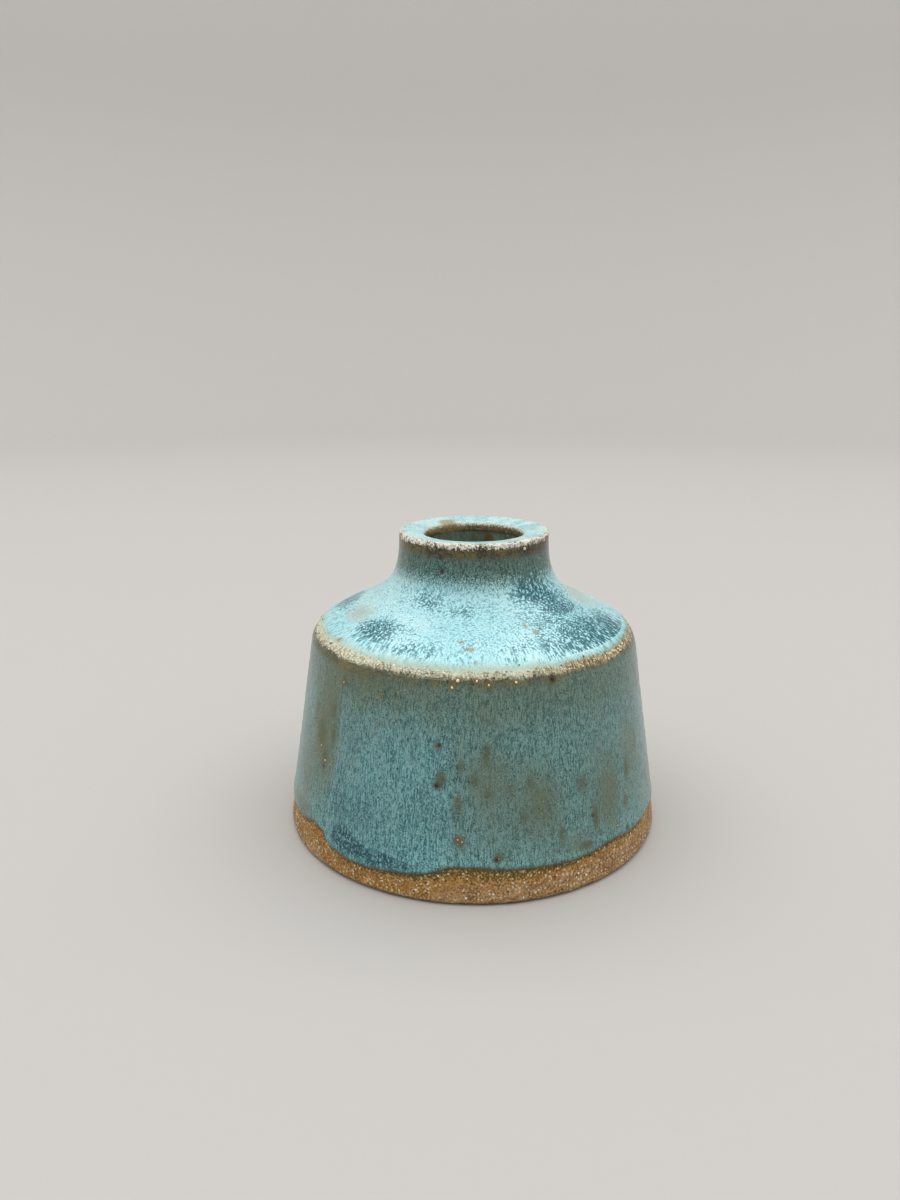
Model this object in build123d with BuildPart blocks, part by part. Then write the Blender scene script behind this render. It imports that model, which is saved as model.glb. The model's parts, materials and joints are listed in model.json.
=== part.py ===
from build123d import *
from math import cos, radians, sin, tan
import os

# Ceramic bud vase: a small wheel-thrown stoneware pot with a leaning wall, a rounded ridge, a
# hollow-curved shoulder and a thick short neck. Its pieces are the fired clay, the dipped outside
# glaze, the lap where a second dip runs over the first, the glaze poured inside, the white grog
# grains that break the surface and the iron specks that bleed through it.
#
# Millimetres and degrees. +Z is up, the origin is the middle of the base on the table, and the
# front is -Y. Azimuths are counted from the front towards +X.

# ---- The thrown clay, outside ----
height = 62.9  # table to the crest of the glazed rim
foot_radius = 39.9  # the widest point, just above the bevel
foot_bevel = 1.2
contact_radius = 38.7  # outer edge of the ring that rests on the table
recess_radius = 34.2  # inner edge of that ring
recess_slope = 1.2
recess_depth = 0.8
wall_lean = 8.71  # the wall's lean from upright
ridge_start = 40.0  # height where the straight wall turns into the ridge
ridge_round = 5.4
ridge_turn = 52.0
shoulder_pull = 10.6  # handle lengths of the curve from ridge to neck
neck_pull = 11.7
neck_radius = 15.25
neck_top = 61.0
rim_round = 0.3
rim_rise = 0.4  # the rim slopes up from the lip to its outer crest

# ---- The thrown clay, inside ----
floor_height = 6.0
cavity_radius = 34.9  # at the floor
ceiling_slope = 28.0
ceiling_height = 50.0  # of the shoulder's underside, where it meets the bore
floor_round = 8.0
under_ridge_round = 5.0
bore_round = 3.0

# ---- The glaze ----
outside_coat = 0.35
rim_coat = 0.30
lining_coat = 0.30
mouth_radius = 10.36  # glazed
lip_round = 1.0
glaze_line = 6.6  # the outside coat stops here, above bare clay
glaze_bead = 0.2  # rounding of its lower edge
lap_coat = 0.30  # the second dip, at its foot
lap_fade = 0.08  # and at its top
lap_line = 4.4  # the lap runs this low over the bare clay
lap_top = 38.0
lap_start = -49.5
lap_width = 45.5
sector_overhang = 1.0  # how far the lap's cutting section reaches into the clay

# ---- Grains and specks ----
golden_angle = 137.508  # spreads any number of seats evenly round the pot
grain_sink = 0.12  # how far a grain's centre lies under the clay's surface
grain_size = (0.85, 0.70, 0.60)  # crushed grog is angular
fine_grain_size = (0.60, 0.50, 0.45)
ridge_grains = 44
ridge_grain_span = (22.0, 52.0)  # directions across the ridge, from outwards towards up
rim_grains = 16
rim_grain_span = (20.0, 70.0)
foot_grains = 36
foot_grain_low = 2.4  # they lie in a band above the bevel
foot_grain_band = 1.5
speck_sink = 0.20
speck_size = (1.10, 0.95, 0.90)
ridge_speck_way = 31.5  # direction across the ridge
neck_speck_radius = 15.35
neck_speck_height = 57.4
level_stride = 7  # neighbours round the pot are this many steps apart across their band
tumble_strides = (3, 5, 7)  # a grain's three turns, as multiples of its azimuth

# ---- Worked out from the above ----
lean = radians(wall_lean)
wall_slope = tan(lean)
ridge_centre = (
    foot_radius - (ridge_start - foot_bevel) * wall_slope - ridge_round * cos(lean),
    ridge_start - ridge_round * sin(lean),
)
clay_top = height - rim_coat
rim_centre = (neck_radius - rim_round, clay_top - rim_round)
lip_top = height - rim_rise
lip_height = lip_top - lip_round
bore_radius = mouth_radius + lining_coat
core_radius = (neck_radius + bore_radius) / 2
core_step = (foot_radius - cavity_radius) / 2


def wall_radius(level, skin=0.0):
    """Radius of the leaning wall at a height, this far outside the clay."""
    return foot_radius + skin / cos(lean) - (level - foot_bevel) * wall_slope


def draw_outside(skin, top_skin, start):
    """Draw the outside from a height on the wall to the top of the rim, this far outside the clay."""
    ridge = CenterArc(ridge_centre, ridge_round + skin, wall_lean, ridge_turn)
    Line((wall_radius(start, skin), start), ridge @ 0)
    outer_neck = neck_radius + skin
    Bezier(
        ridge @ 1,
        ridge @ 1 + (ridge % 1) * shoulder_pull,
        (outer_neck, neck_top - neck_pull),
        (outer_neck, neck_top),
    )
    rim_turn = rim_round + skin
    top = clay_top + top_skin
    Line((outer_neck, neck_top), (outer_neck, top - rim_turn))
    CenterArc((outer_neck - rim_turn, top - rim_turn), rim_turn, 0, 90)
    return (outer_neck - rim_turn, top)


def inside_corners(coat):
    """Corners of the hollow, from the floor's middle to the bore, this far inside the clay."""
    slope = tan(radians(ceiling_slope))
    floor = floor_height + coat
    wall = cavity_radius - coat / cos(lean) + floor_height * wall_slope
    ceiling = ceiling_height - coat / cos(radians(ceiling_slope)) + bore_radius * slope
    corner = (ceiling - wall * slope) / (1 - wall_slope * slope)
    bore = bore_radius - coat
    return [
        (0, floor),
        (wall - floor * wall_slope, floor),
        (wall - corner * wall_slope, corner),
        (bore, ceiling - bore * slope),
        (bore, lip_height),
    ]


def draw_inside(coat):
    """Draw the hollow from the floor's middle up to the lip, this far inside the clay."""
    rounds = [floor_round - coat, under_ridge_round - coat, bore_round + coat]
    FilletPolyline(*inside_corners(coat), radius=rounds)


def core_line(foot):
    """Points down the middle of the clay, from the lip to this point near the foot."""
    return [
        (core_radius, lip_height),
        (core_radius, ceiling_height + bore_round),
        (ridge_centre[0] + core_step, ridge_centre[1]),
        foot,
    ]


def seat(azimuth, radius, level):
    """Where a grain sits, at this azimuth, radius and height, tumbled by its own angles."""
    turn = radians(azimuth)
    tumble = tuple(azimuth * stride % 90 for stride in tumble_strides)
    return Location((radius * sin(turn), -radius * cos(turn), level), tumble)


def scatter(i, count):
    """A fraction from 0 to 1 that jumps about as i counts up, and takes each value once."""
    return (i * level_stride % count) / count


def edge_seat(azimuth, centre, bend_radius, way):
    """A seat on a rounded edge, its way across the edge in degrees from outwards towards up."""
    radius = centre[0] + bend_radius * cos(radians(way))
    level = centre[1] + bend_radius * sin(radians(way))
    return seat(azimuth, radius, level)


def edge_seats(count, centre, bend_radius, span):
    """Seats scattered all round a rounded edge, between two directions of its cross-section."""
    low, high = span
    return [
        edge_seat(
            i * golden_angle, centre, bend_radius - grain_sink, low + (high - low) * scatter(i, count)
        )
        for i in range(count)
    ]


def wall_seats(places, sink):
    """Seats on the leaning wall, from azimuths and heights."""
    return [seat(azimuth, wall_radius(level) - sink, level) for azimuth, level in places]


# The pot as thrown, before anything breaks its surface: the clay and the grains are cut from it.
with BuildPart() as thrown_form:
    with BuildSketch(Plane.XZ):
        with BuildLine():
            rim_edge = draw_outside(0, 0, foot_bevel)
            draw_inside(0)
            Line((bore_radius, lip_height), (bore_radius, lip_top - rim_coat))
            Line((bore_radius, lip_top - rim_coat), rim_edge)
            Polyline(
                (0, floor_height),
                (0, recess_depth),
                (recess_radius - recess_slope, recess_depth),
                (recess_radius, 0),
                (contact_radius, 0),
                (foot_radius, foot_bevel),
            )
        make_face()
    revolve(axis=Axis.Z)

# White grog: coarse grains along the ridge and the rim, finer ones in the bare foot, and a few
# that push through the glaze on the wall.
grain_places = [(-53.6, 23.7), (-59.0, 27.7), (-3.9, 20.3), (-3.7, 12.9), (147.0, 18.0)]
coarse_seats = edge_seats(ridge_grains, ridge_centre, ridge_round, ridge_grain_span)
coarse_seats += wall_seats(grain_places, grain_sink)
foot_places = [
    (i * golden_angle, foot_grain_low + foot_grain_band * scatter(i, foot_grains))
    for i in range(foot_grains)
]
fine_seats = edge_seats(rim_grains, rim_centre, rim_round, rim_grain_span)
fine_seats += wall_seats(foot_places, grain_sink)

with BuildPart() as grog_grains:
    with Locations(*coarse_seats):
        Box(*grain_size)
    with Locations(*fine_seats):
        Box(*fine_grain_size)
grog_grains.part.label = "grog_grains"

# Iron specks on the wall, one on the ridge and one on the neck, each seated in the clay and just
# breaking the glaze.
speck_places = [
    (-9.9, 22.8),
    (-9.4, 30.2),
    (6.8, 9.1),
    (36.7, 14.0),
    (46.8, 9.6),
    (51.7, 8.2),
    (-51.0, 20.0),
    (98.0, 27.0),
    (134.0, 11.5),
    (171.0, 33.0),
    (-118.0, 15.5),
    (-86.0, 31.0),
]
high_specks = [
    edge_seat(25.4, ridge_centre, ridge_round - speck_sink, ridge_speck_way),
    seat(-22.6, neck_speck_radius, neck_speck_height),
]

with BuildPart() as iron_specks:
    with Locations(*wall_seats(speck_places, speck_sink), *high_specks):
        Box(*speck_size)
iron_specks.part.label = "iron_specks"

with BuildPart() as clay_body:
    add(thrown_form.part)
    add(grog_grains.part, mode=Mode.SUBTRACT)
    add(iron_specks.part, mode=Mode.SUBTRACT)
clay_body.part.label = "clay_body"

# The outside coat runs from the glaze line over the ridge, shoulder, neck and rim to the lip.
with BuildPart() as outer_glaze:
    with BuildSketch(Plane.XZ):
        with BuildLine():
            rim_edge = draw_outside(outside_coat, rim_coat, glaze_line)
            Line(rim_edge, (mouth_radius + lip_round, lip_top))
            CenterArc((mouth_radius + lip_round, lip_height), lip_round, 90, 90)
            core_foot = (wall_radius(glaze_line) - core_step, glaze_line)
            Polyline((mouth_radius, lip_height), *core_line(core_foot))
            Line(core_foot, (wall_radius(glaze_line, outside_coat), glaze_line))
        make_face()
    revolve(axis=Axis.Z)
    lowest = outer_glaze.edges().filter_by(GeomType.CIRCLE).group_by(Axis.Z)[0]
    fillet(lowest.sort_by(SortBy.RADIUS)[-1], radius=glaze_bead)
    add(thrown_form.part, mode=Mode.SUBTRACT)
    add(grog_grains.part, mode=Mode.SUBTRACT)
    add(iron_specks.part, mode=Mode.SUBTRACT)
outer_glaze.part.label = "outer_glaze"

# The second dip laps over the first on the front left, and runs lower over the bare clay.
lap_azimuth = radians(lap_start)
lap_plane = Plane(
    origin=(0, 0, 0),
    x_dir=(sin(lap_azimuth), -cos(lap_azimuth), 0),
    z_dir=(-cos(lap_azimuth), -sin(lap_azimuth), 0),
)
with BuildPart() as glaze_lap:
    with BuildSketch(lap_plane):
        with BuildLine():
            Polyline(
                (wall_radius(lap_line, -sector_overhang), lap_line),
                (wall_radius(lap_line, outside_coat), lap_line),
                (wall_radius(glaze_line, outside_coat + lap_coat), glaze_line),
                (wall_radius(lap_top, outside_coat + lap_fade), lap_top),
                (wall_radius(lap_top, -sector_overhang), lap_top),
                close=True,
            )
        make_face()
    revolve(axis=Axis.Z, revolution_arc=lap_width)
    add(thrown_form.part, mode=Mode.SUBTRACT)
    add(outer_glaze.part, mode=Mode.SUBTRACT)
    add(grog_grains.part, mode=Mode.SUBTRACT)
    add(iron_specks.part, mode=Mode.SUBTRACT)
glaze_lap.part.label = "glaze_lap"

# The glaze poured inside lines the floor, wall, shoulder and bore, and stops at the lip.
with BuildPart() as liner_glaze:
    with BuildSketch(Plane.XZ):
        with BuildLine():
            draw_inside(lining_coat)
            core_bottom = (0, floor_height / 2)
            core_foot = (cavity_radius + core_step, floor_height / 2)
            Polyline((mouth_radius, lip_height), *core_line(core_foot), core_bottom)
            Line(core_bottom, (0, floor_height + lining_coat))
        make_face()
    revolve(axis=Axis.Z)
    add(thrown_form.part, mode=Mode.SUBTRACT)
liner_glaze.part.label = "liner_glaze"

os.makedirs("parts", exist_ok=True)
export_step(clay_body.part, "parts/clay_body.step")
export_step(outer_glaze.part, "parts/outer_glaze.step")
export_step(glaze_lap.part, "parts/glaze_lap.step")
export_step(liner_glaze.part, "parts/liner_glaze.step")
export_step(grog_grains.part, "parts/grog_grains.step")
export_step(iron_specks.part, "parts/iron_specks.step")
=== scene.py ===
import json
import math
from types import SimpleNamespace

import bmesh
import bpy
import numpy as np
from mathutils import Matrix, Vector


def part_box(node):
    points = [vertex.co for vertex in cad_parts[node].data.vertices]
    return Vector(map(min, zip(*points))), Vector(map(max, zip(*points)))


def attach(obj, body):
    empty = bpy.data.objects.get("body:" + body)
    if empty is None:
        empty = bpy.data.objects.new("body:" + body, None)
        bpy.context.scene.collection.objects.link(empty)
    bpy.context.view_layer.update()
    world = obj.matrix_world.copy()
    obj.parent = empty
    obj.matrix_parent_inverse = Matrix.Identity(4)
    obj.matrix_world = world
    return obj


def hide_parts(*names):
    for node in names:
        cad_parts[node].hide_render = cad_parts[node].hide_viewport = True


# Looks of the ceramic bud vase. Shapes are worked out in millimetres, as the potter would measure
# them, and scaled to metres when a mesh is made. Azimuths run from the front (-Y) towards +X, in
# degrees in the tables and in radians in the functions. Every skin of the pot is one outline turned
# round the Z axis, lifted off the clay by the glaze's thickness, and moved by the same hand-thrown
# wobble, so that the skins never cross.

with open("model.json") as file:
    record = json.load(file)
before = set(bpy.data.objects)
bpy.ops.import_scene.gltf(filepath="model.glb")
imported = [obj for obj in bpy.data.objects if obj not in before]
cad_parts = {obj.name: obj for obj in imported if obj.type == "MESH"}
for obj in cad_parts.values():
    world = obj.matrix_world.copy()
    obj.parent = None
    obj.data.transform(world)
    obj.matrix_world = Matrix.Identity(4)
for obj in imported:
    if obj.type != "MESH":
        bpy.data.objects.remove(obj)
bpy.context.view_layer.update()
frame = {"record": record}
clay_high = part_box("clay_body")[1]
glaze_low, glaze_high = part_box("outer_glaze")
mouth = next(m for m in frame["record"]["mounts"] if m["name"] == "mouth")

MM = 0.001
FULL_TURN = 2 * math.pi

# ---- Sizes that the frame gives ----
HEIGHT = glaze_high.z / MM
FOOT_RADIUS = clay_high.x / MM
CLAY_TOP = clay_high.z / MM
MOUTH_RADIUS = mouth["dims"]["r_mm"]
GLAZE_LINE = glaze_low.z / MM

# ---- The outline of the thrown clay ----
COAT = 0.35  # the outside glaze
RIM_COAT = HEIGHT - CLAY_TOP
RIM_RISE = 0.4  # from the lip up to the rim's outer crest
LIP_TOP = HEIGHT - RIM_RISE
LINING = 0.30  # the glaze inside
FOOT_BEVEL = 1.2
CONTACT_RADIUS = 38.7
RECESS_RADIUS = 34.2
RECESS_DEPTH = 0.8
WALL_LEAN = 8.71
RIDGE_START = 40.0
RIDGE_ROUND = 5.4
RIDGE_TURN = 52.0
SHOULDER_PULL = 10.6
NECK_PULL = 11.7
NECK_RADIUS = 15.25
NECK_TOP = 61.0
RIM_ROUND = 0.3
LIP_ROUND = 1.0
BORE_DEPTH = 10.7  # lip to the bore's lower end
LINING_DROP = 1.6  # the lining starts this far below the lip
FLARE = (4.5, 46.7)  # the bore flares out this much by this height
CAVITY_RADIUS = 34.9
FLOOR_HEIGHT = 6.0
FLOOR_ROUND = 7.0
CEILING_RADIUS = 29.6
CEILING_HEIGHT = 39.9

LEAN = math.radians(WALL_LEAN)
WALL_SLOPE = math.tan(LEAN)

# ---- How fine the meshes are ----
AROUND = 544  # columns round the outside
INSIDE_AROUND = 256


# ======== Small tools: smooth steps, noise and outlines ========


def step(value, low, high):
    """0 below low, 1 above high, smooth between; low may be above high for a falling step."""
    t = np.clip((np.asarray(value, float) - low) / (high - low), 0.0, 1.0)
    return t * t * (3.0 - 2.0 * t)


def bump(value, middle, width):
    """1 at the middle, falling away over the width on both sides."""
    return np.exp(-(((np.asarray(value, float) - middle) / width) ** 2))


def wrapped(angle):
    """The same angle between minus and plus half a turn."""
    return (angle + math.pi) % FULL_TURN - math.pi


def in_degrees(azimuth):
    """The azimuth in degrees, between -180 and 180."""
    return (np.degrees(azimuth) + 180) % 360 - 180


def on_circle(azimuth, radius, level):
    """Points at an azimuth, a radius and a height."""
    return np.stack([radius * np.sin(azimuth), -radius * np.cos(azimuth), level], -1)


def noise(points, lump, seed):
    """Smooth noise from -1 to 1 at points in millimetres, with lumps of this size."""
    side = 32
    lattice = np.random.default_rng(seed).uniform(-1, 1, (side, side, side))
    cell = np.asarray(points, float) / lump
    low = np.floor(cell).astype(int)
    t = cell - low
    t = t * t * (3 - 2 * t)
    total = np.zeros(cell.shape[:-1])
    for corner in np.ndindex(2, 2, 2):
        weight = np.prod(np.where(corner, t, 1 - t), axis=-1)
        i, j, k = np.moveaxis((low + corner) % side, -1, 0)
        total += weight * lattice[i, j, k]
    return total


def layered(points, layers):
    """Noise of several sizes together; each layer is its height, lump and seed."""
    return sum(height * noise(points, lump, seed) for height, lump, seed in layers)


def line(start, end, count):
    """Points from start to just before end."""
    t = np.linspace(0, 1, count, endpoint=False)[:, None]
    return np.array(start) + (np.array(end) - np.array(start)) * t


def arc(centre, radius, start, turn, count):
    """Points along an arc, its angles in degrees from +radius towards +Z."""
    a = np.radians(start + turn * np.linspace(0, 1, count, endpoint=False))
    return np.stack([centre[0] + radius * np.cos(a), centre[1] + radius * np.sin(a)], -1)


def bezier(p0, p1, p2, p3, count):
    """Points along a cubic curve."""
    t = np.linspace(0, 1, count, endpoint=False)[:, None]
    s = 1 - t
    p0, p1, p2, p3 = map(np.array, (p0, p1, p2, p3))
    return s**3 * p0 + 3 * s * s * t * p1 + 3 * s * t * t * p2 + t**3 * p3


def wall_radius(level, skin=0.0):
    """Radius of the leaning wall at a height, this far outside the clay."""
    return FOOT_RADIUS + skin / math.cos(LEAN) - (level - FOOT_BEVEL) * WALL_SLOPE


class Outline:
    """A cross-section line in radius and height, read by distance along it."""

    def __init__(self, parts, landmarks):
        """The landmarks are named points, given by their index."""
        self.points = np.vstack(parts)
        steps = np.linalg.norm(np.diff(self.points, axis=0), axis=1)
        self.run = np.concatenate([[0], np.cumsum(steps)])
        self.length = self.run[-1]
        along = np.gradient(self.points, self.run, axis=0)
        along /= np.linalg.norm(along, axis=1)[:, None]
        self.normals = np.stack([along[:, 1], -along[:, 0]], -1)
        self.marks = {name: self.run[i] for name, i in landmarks.items()}

    def at(self, run):
        """Radius and height at this distance along."""
        return tuple(np.interp(run, self.run, self.points[:, i]) for i in (0, 1))

    def normal(self, run):
        """Outward direction, as its radial and upward parts, at this distance along."""
        return tuple(np.interp(run, self.run, self.normals[:, i]) for i in (0, 1))

    def off(self, run, lift):
        """Radius and height at this distance along, lifted outwards."""
        return tuple(at + lift * out for at, out in zip(self.at(run), self.normal(run), strict=True))

    def run_at_height(self, level, before):
        """Distance along at which the line first reaches a height, looking only before a mark."""
        upto = np.searchsorted(self.run, self.marks[before])
        return np.interp(level, self.points[:upto, 1], self.run[:upto])


def part_starts(parts):
    """The index at which each part's points start."""
    return np.cumsum([0] + [len(p) for p in parts])


def outside_points(skin, top_skin):
    """The pot's outside from the foot's bevel to the rim's outer edge, off the clay by skin."""
    ridge_centre = (
        wall_radius(RIDGE_START) - RIDGE_ROUND * math.cos(LEAN),
        RIDGE_START - RIDGE_ROUND * math.sin(LEAN),
    )
    ridge = arc(ridge_centre, RIDGE_ROUND + skin, WALL_LEAN, RIDGE_TURN, 40)
    end = math.radians(WALL_LEAN + RIDGE_TURN)
    ridge_end = (
        ridge_centre[0] + (RIDGE_ROUND + skin) * math.cos(end),
        ridge_centre[1] + (RIDGE_ROUND + skin) * math.sin(end),
    )
    handle = (
        ridge_end[0] - SHOULDER_PULL * math.sin(end),
        ridge_end[1] + SHOULDER_PULL * math.cos(end),
    )
    neck = NECK_RADIUS + skin
    top = CLAY_TOP + top_skin
    rim_turn = RIM_ROUND + skin
    return [
        line((wall_radius(FOOT_BEVEL, skin), FOOT_BEVEL), ridge[0], 160),
        ridge,
        bezier(ridge_end, handle, (neck, NECK_TOP - NECK_PULL), (neck, NECK_TOP), 120),
        line((neck, NECK_TOP), (neck, top - rim_turn), 4),
        arc((neck - rim_turn, top - rim_turn), rim_turn, 0, 90, 24),
    ]


def glazed_outline():
    """The outside coat's surface, from low on the wall over the rim and into the bore."""
    wall, ridge, shoulder, neck, rim = outside_points(COAT, RIM_COAT)
    lip_centre = (MOUTH_RADIUS + LIP_ROUND, LIP_TOP - LIP_ROUND)
    top = line((NECK_RADIUS - RIM_ROUND, HEIGHT), (lip_centre[0], LIP_TOP), 24)
    lip = arc(lip_centre, LIP_ROUND, 90, 90, 24)
    bore_reach = 2.0
    bore = line((MOUTH_RADIUS, lip_centre[1]), (MOUTH_RADIUS, lip_centre[1] - bore_reach), 12)
    parts = [wall, ridge, shoulder, neck, rim, top, lip, bore]
    starts = part_starts(parts)
    marks = {
        "ridge": starts[1] + len(ridge) // 2,
        "ridge_end": starts[2],
        "rim": starts[4] + len(rim) // 2,
        "top": starts[5],
        "lip": starts[6] + len(lip) // 2,
    }
    return Outline(parts, marks)


def clay_outline():
    """The whole clay body, from the middle of the underside round to the middle of the floor."""
    inset, pull = 0.4, 0.5  # the foot's turns start this far inside, and are pulled this far out
    ring_start, ring_end = RECESS_RADIUS + pull, CONTACT_RADIUS - inset
    recess_end = RECESS_RADIUS - 1.6
    bore = MOUTH_RADIUS + LINING
    lip_clay = LIP_TOP - RIM_COAT
    lip_turn, lip_drop = 0.4, 1.0
    parts = [
        line((0.0, RECESS_DEPTH), (recess_end, RECESS_DEPTH), 60),
        bezier(
            (recess_end, RECESS_DEPTH),
            (RECESS_RADIUS - 0.6, RECESS_DEPTH),
            (RECESS_RADIUS - inset, 0.0),
            (ring_start, 0.0),
            16,
        ),
        line((ring_start, 0.0), (ring_end, 0.0), 10),
        bezier(
            (ring_end, 0.0),
            (CONTACT_RADIUS + pull, 0.0),
            (FOOT_RADIUS - 0.1, pull),
            (FOOT_RADIUS, FOOT_BEVEL),
            16,
        ),
        *outside_points(0.0, 0.0),
        line((NECK_RADIUS - RIM_ROUND, CLAY_TOP), (bore + lip_turn, lip_clay), 6),
        bezier(
            (bore + lip_turn, lip_clay),
            (bore, lip_clay),
            (bore, lip_clay - lip_turn),
            (bore, lip_clay - lip_drop),
            6,
        ),
        *inside_points(LINING),
        [[0.0, FLOOR_HEIGHT]],
    ]
    starts = part_starts(parts)
    return Outline(parts, {"ring": starts[2], "wall": starts[4]})


def inside_points(depth):
    """The hollow from high in the bore to the floor's middle, this far behind the lining's face."""
    bore = MOUTH_RADIUS + depth
    bore_end = LIP_TOP - BORE_DEPTH + depth
    ceiling = CEILING_HEIGHT + depth
    floor = FLOOR_HEIGHT + LINING - depth
    wall_foot = CAVITY_RADIUS - LINING + depth - FLOOR_ROUND * WALL_SLOPE
    flare = (bore + FLARE[0], FLARE[1])
    under_shoulder = (CEILING_RADIUS - 4.0, ceiling + 1.8)
    under_ridge = (CEILING_RADIUS + 0.8, ceiling - 4.5)
    wall_end = (wall_foot, floor + FLOOR_ROUND)
    floor_edge = (wall_foot - FLOOR_ROUND, floor)
    return [
        line((bore, LIP_TOP - LINING_DROP), (bore, bore_end), 24),
        bezier((bore, bore_end), (bore, bore_end - 2.4), (bore + 2, 48.0), flare, 20),
        line(flare, under_shoulder, 16),
        bezier(
            under_shoulder,
            (CEILING_RADIUS - 1.0, ceiling),
            (CEILING_RADIUS, ceiling - 1.0),
            under_ridge,
            16,
        ),
        line(under_ridge, wall_end, 24),
        bezier(wall_end, (wall_foot + 0.6, floor + 3.0), (wall_foot - 3.5, floor), floor_edge, 20),
        line(floor_edge, (0.0, floor), 20),
    ]


def lining_outline():
    """The poured glaze's visible face, from high in the bore to the floor's middle."""
    return Outline([*inside_points(0.0), [[0.0, FLOOR_HEIGHT + LINING]]], {})


# ======== The hand-made form: wobble, throwing rings, glaze line and lap ========

# How uneven the surfaces are: height and lump in millimetres, and seed, of layers of noise.
CLAY_GRAIN = [(0.045, 0.9, 41), (0.05, 2.4, 42)]
GLAZE_RIPPLE = [(0.035, 6.0, 51), (0.02, 2.0, 52)]
GLAZE_GRIT = [(0.075, 0.75, 53), (0.05, 0.4, 54)]
LINING_RIPPLE = [(0.06, 5.0, 61), (0.03, 1.8, 62)]
# How the lap's borders wander, in the same terms, but for degrees of azimuth instead of height.
LAP_DRIFT = [(0.5, 7.0, 31), (0.3, 2.3, 32)]
# Swells round the pot: size, how many in a turn, phase. Rings up the wall: size, spacing, how many
# times they spiral in a turn, phase. Sizes and spacing are in millimetres.
SWELLS = [(0.10, 2, 0.6), (0.06, 3, 2.1)]
RINGS = [(0.022, 3.3, 1, 0.0), (0.012, 1.9, 2, 1.0)]
SHOULDER_TILT = 0.18  # the ridge and shoulder are this much lower on the right, higher on the left


def wobble(azimuth, level):
    """How far the thrower's hand moved the surface outwards and upwards, in millimetres."""
    out = sum(size * np.cos(count * azimuth + phase) for size, count, phase in SWELLS)
    out = out * step(level, 2.0, 24.0)
    rings = sum(
        size * np.sin(FULL_TURN * level / spacing + spiral * azimuth + phase)
        for size, spacing, spiral, phase in RINGS
    )
    out = out + rings * step(level, 1.5, 4.0) * step(level, 50.0, 42.0)
    lifted = -SHOULDER_TILT * np.sin(azimuth) * step(level, 22.0, 41.0) * step(level, 60.6, 43.0)
    return out, lifted


def round_curve(knots, azimuth):
    """A height that runs smoothly through the knots, (azimuth in degrees, height), round the pot."""
    turns, levels = np.array(sorted(knots), float).T
    turns = np.concatenate([turns[-2:] - 360, turns, turns[:2] + 360])
    levels = np.concatenate([levels[-2:], levels, levels[:2]])
    slopes = np.gradient(levels, turns)
    at = in_degrees(azimuth)
    at = np.where(at < turns[1], at + 360, at)
    i = np.clip(np.searchsorted(turns, at, "right") - 1, 0, len(turns) - 2)
    width = turns[i + 1] - turns[i]
    t = (at - turns[i]) / width
    a, b = levels[i], levels[i + 1]
    p, q = slopes[i] * width, slopes[i + 1] * width
    curve = (2 * t**3 - 3 * t**2 + 1) * a + (t**3 - 2 * t**2 + t) * p
    return curve + (3 * t**2 - 2 * t**3) * b + (t**3 - t**2) * q


# Where the first dip stops above the bare foot, and the lower edge of the lap over it.
DIP_LINE = [
    (-160, 6.2), (-130, 5.6), (-100, 6.5), (-80, 6.1), (-65, 6.0), (-59, 6.7), (-54, 7.3),
    (-51, 7.2), (-45, 6.8), (-25, 6.6), (-8, 6.8), (-2.8, 7.2), (2.2, 7.3), (8.6, 6.6),
    (16.7, 6.45), (30, 6.3), (35.5, 6.7), (41, 6.95), (48, 6.85), (54.6, 6.6), (67, 6.8),
    (80, 6.3), (105, 6.5), (130, 5.7), (160, 6.6),
]
LAP_LINE = [
    (-180, 9.0), (-55, 8.8), (-52, 8.2), (-49, 6.9), (-47, 6.1), (-44.8, 5.4), (-41.5, 4.95),
    (-38.5, 4.6), (-32.7, 4.35), (-27.7, 4.4), (-21.4, 4.8), (-14.6, 5.4), (-10.6, 6.05),
    (-7.5, 6.8), (-4.5, 7.7), (-1, 8.8), (90, 9.0),
]
NO_LAP = 8.0  # where its line is drawn above this, there is no lap
LAP_LEFT = -50.5
LAP_RIGHT = -3.0
LAP_TOP = 42.0
LAP_COAT = 0.26
LAP_ROLL = 0.10  # more at its lower edge
LAP_SEAT = 0.09  # where it fades out, it ends this far inside the first coat

# The hidden face of each coat lies this far inside the first coat's surface.
COAT_BACK = 0.55
LAP_BACK = 0.60


def ragged(azimuth, seed, size):
    """Small unevenness round the pot, for an edge of glaze."""
    ring = on_circle(azimuth, 1.0, np.zeros_like(azimuth)) * FOOT_RADIUS
    return size * layered(ring, [(1.0, 3.0, seed), (0.5, 1.1, seed + 1)])


def dip_line(azimuth):
    return round_curve(DIP_LINE, azimuth) + ragged(azimuth, 11, 0.16)


def lap_line(azimuth):
    return round_curve(LAP_LINE, azimuth) + ragged(azimuth, 21, 0.12)


def lap_cover(azimuth, level):
    """How fully the second dip covers the first, from 0 to 1. It fades to the right and upwards."""
    turned = np.degrees(azimuth)
    wall_middle = 36.0
    drift = layered(on_circle(azimuth, wall_middle, level), LAP_DRIFT)
    left = step(turned + drift + 2.6 * step(level, 20.0, 13.0), -45.4, -43.2)
    border = -6.0
    soft = 1.0 + 4.2 * step(level, 9.0, 26.0)
    leaning = turned + 2.0 * drift + 4.4 * step(level, 20.0, 38.0)
    right = step(leaning, border + soft, border - soft)
    return left * right * step(level + 6 * drift, 43.0, 26.0)


def lap_lift(azimuth, level, above):
    """How far the second dip's surface stands off the first's, this far above its lower edge."""
    return (LAP_COAT + LAP_ROLL * bump(above, 2.2, 2.5)) * lap_cover(azimuth, level) - LAP_SEAT


# ======== The marks in the glaze, place by place ========

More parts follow.
